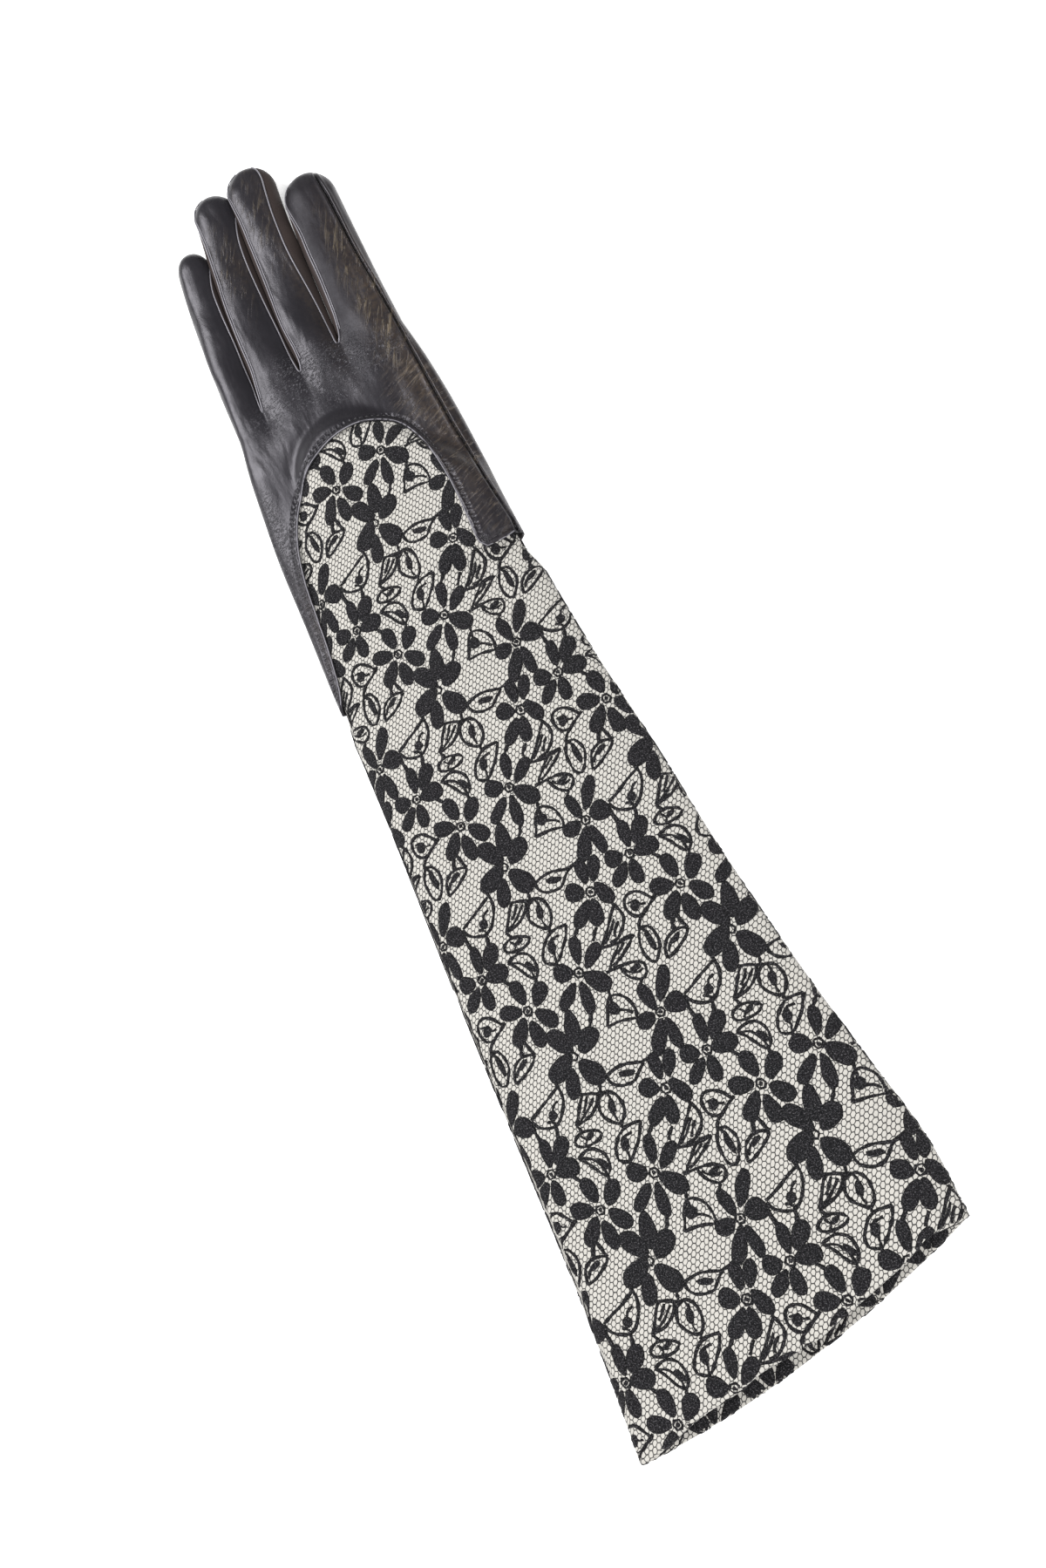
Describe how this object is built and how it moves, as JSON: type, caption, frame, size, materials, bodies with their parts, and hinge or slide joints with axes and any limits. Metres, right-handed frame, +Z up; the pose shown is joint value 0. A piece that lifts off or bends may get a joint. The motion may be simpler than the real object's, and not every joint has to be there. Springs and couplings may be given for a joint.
{
  "type": "long dress glove",
  "caption": "Elbow-length left dress glove lying flat: black leather hand with an arch-shaped cut-out on its back, thumb folded under, and a flaring ivory sleeve covered with black floral lace.",
  "frame": {"origin": "middle of the bounding box in plan, on the surface that the glove lies on", "axes": "+X across the glove towards the index finger's side, +Y along it from the sleeve's mouth to the fingertips, +Z up from the palm to the back of the hand"},
  "size_m": [0.1382, 0.5092, 0.0167],
  "materials": {
    "leather": "soft black nappa leather, satin",
    "side_leather": "soft black-brown nappa leather, satin",
    "lace_cloth": "ivory cloth under black floral lace on a hexagonal net, matt"
  },
  "bodies": {
    "root": {"hand_trank": "leather", "fourchette_index_middle": "side_leather", "fourchette_middle_ring": "side_leather", "fourchette_ring_little": "side_leather", "thumb": "leather", "sleeve": "lace_cloth"}
  },
  "joints": []
}
